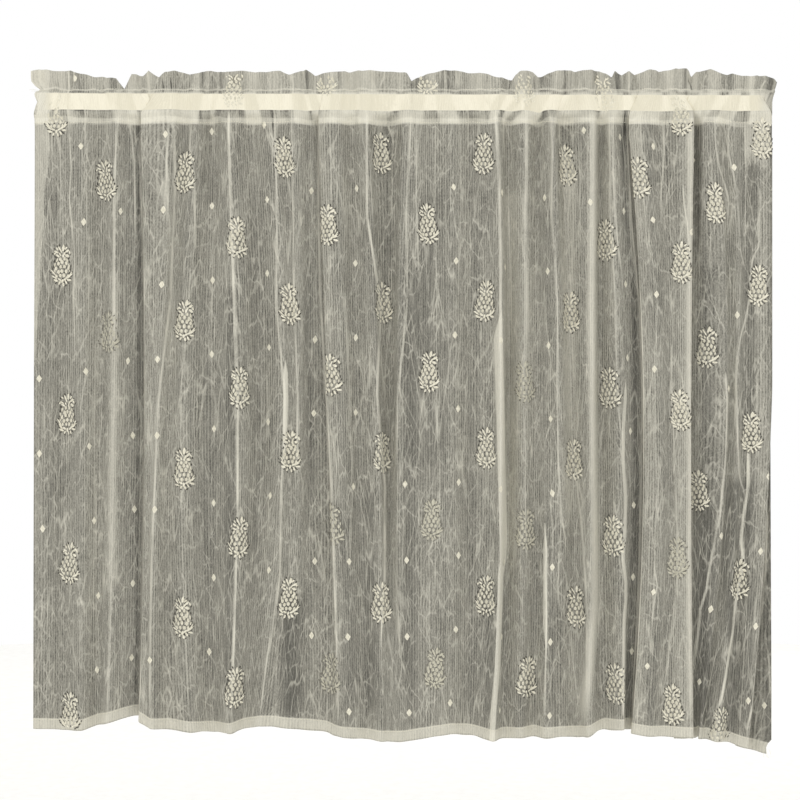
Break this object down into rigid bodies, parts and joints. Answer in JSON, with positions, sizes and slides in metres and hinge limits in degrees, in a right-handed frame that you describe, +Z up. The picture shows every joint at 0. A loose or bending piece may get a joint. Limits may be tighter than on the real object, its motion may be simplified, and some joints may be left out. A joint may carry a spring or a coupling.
{
  "type": "lace valance on a flat curtain rod",
  "caption": "Sheer lace valance with a ruffled heading, rod pocket and narrow hem, hanging in uneven soft folds from a plain flat curtain rod.",
  "frame": {"origin": "middle of the curtain rod", "axes": "+X along the rod to the right as seen from the room, +Y to the wall, +Z up; the lace faces -Y"},
  "size_m": [0.853, 0.0324, 0.7845],
  "materials": {
    "ecru_lace": "matt open net with raised motifs, sheer",
    "cream_enamel": "satin baked enamel",
    "white_label_tape": "smooth woven tape, bare"
  },
  "bodies": {
    "root": {"lace_panel": "ecru_lace", "curtain_rod": "cream_enamel", "blank_label": "white_label_tape"}
  },
  "joints": []
}
